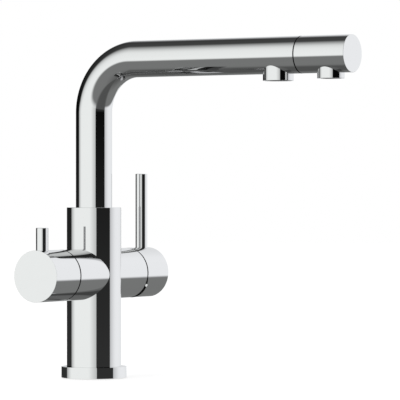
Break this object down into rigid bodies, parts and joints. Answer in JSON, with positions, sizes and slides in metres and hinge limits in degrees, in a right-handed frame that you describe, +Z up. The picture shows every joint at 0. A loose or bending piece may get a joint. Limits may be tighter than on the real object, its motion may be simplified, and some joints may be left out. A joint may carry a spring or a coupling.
{
  "type": "four-way kitchen mixer tap",
  "caption": "Chromed kitchen tap with a swivelling spout, a long mixer lever, a short filter lever and separate mixed and filtered outlets.",
  "frame": {"origin": "on the column's axis, on the underside of the base ring, where the tap stands on the deck", "axes": "+Z up along the column; +X along the spout; +Y along the mixer valve; the filter valve lies along -Y"},
  "size_m": [0.2725, 0.1652, 0.2774],
  "materials": {
    "chrome": "polished chrome plate",
    "brass": "machined brass",
    "rubber": "smooth black rubber",
    "ceramic": "lapped white ceramic",
    "cartridge_plastic": "moulded off-white plastic",
    "insert_plastic": "moulded dark grey plastic",
    "hose_plastic": "smooth white tubing",
    "steel": "turned stainless steel"
  },
  "bodies": {
    "tap_body": {"base_ring": "chrome", "deck_seal": "rubber", "body_housing": "chrome", "inlet_block": "brass", "swivel_seal": "rubber", "stop_screw": "steel", "mixer_gasket": "rubber", "mixer_cartridge_body": "cartridge_plastic", "mixer_fixed_disc": "ceramic", "mixer_cover_nut": "chrome", "filter_gasket": "rubber", "filter_fixed_disc": "ceramic", "filter_headwork": "brass"},
    "spout": {"swivel_nipple": "brass", "spout_tube": "chrome", "head_connector": "insert_plastic", "spout_head": "chrome", "filter_hose": "hose_plastic", "hose_plug": "brass", "mixer_outlet_collar": "chrome", "filter_outlet_collar": "chrome", "mixer_aerator": "insert_plastic", "filter_straightener": "insert_plastic"},
    "mixer_turn": {"mixer_carrier": "cartridge_plastic", "mixer_pivot_pin": "steel"},
    "mixer_hand": {"mixer_spindle": "steel", "mixer_handle": "chrome", "mixer_lever": "chrome", "mixer_grub_screw": "steel"},
    "mixer_disc": {"mixer_moving_disc": "ceramic", "mixer_disc_driver": "cartridge_plastic"},
    "filter_hand": {"filter_moving_disc": "ceramic", "filter_spindle": "brass", "filter_handle": "chrome", "filter_lever": "chrome", "filter_grub_screw": "steel"}
  },
  "joints": [
    {"name": "spout_swivel", "type": "hinge", "parent": "tap_body", "child": "spout", "pos_m": [0, 0, 0.125], "axis": [0, 0, 1], "range_deg": [-75, 75]},
    {"name": "mixer_temperature", "type": "hinge", "parent": "tap_body", "child": "mixer_turn", "pos_m": [0, 0.034, 0.0853], "axis": [0, 1, 0], "range_deg": [-45, 45]},
    {"name": "mixer_flow", "type": "hinge", "parent": "mixer_turn", "child": "mixer_hand", "pos_m": [0, 0.042, 0.0853], "axis": [-1, 0, 0], "range_deg": [0, 15]},
    {"name": "mixer_disc_slide", "type": "slide", "parent": "mixer_turn", "child": "mixer_disc", "axis": [0, 0, 1], "range_m": [0, 0.0039]},
    {"name": "filter_turn", "type": "hinge", "parent": "tap_body", "child": "filter_hand", "pos_m": [0, -0.034, 0.0853], "axis": [0, 1, 0], "range_deg": [-90, 90]}
  ],
  "couplings": [
    {"joint": "mixer_disc_slide", "follows": "mixer_flow", "m_per_rad": 0.0146}
  ]
}
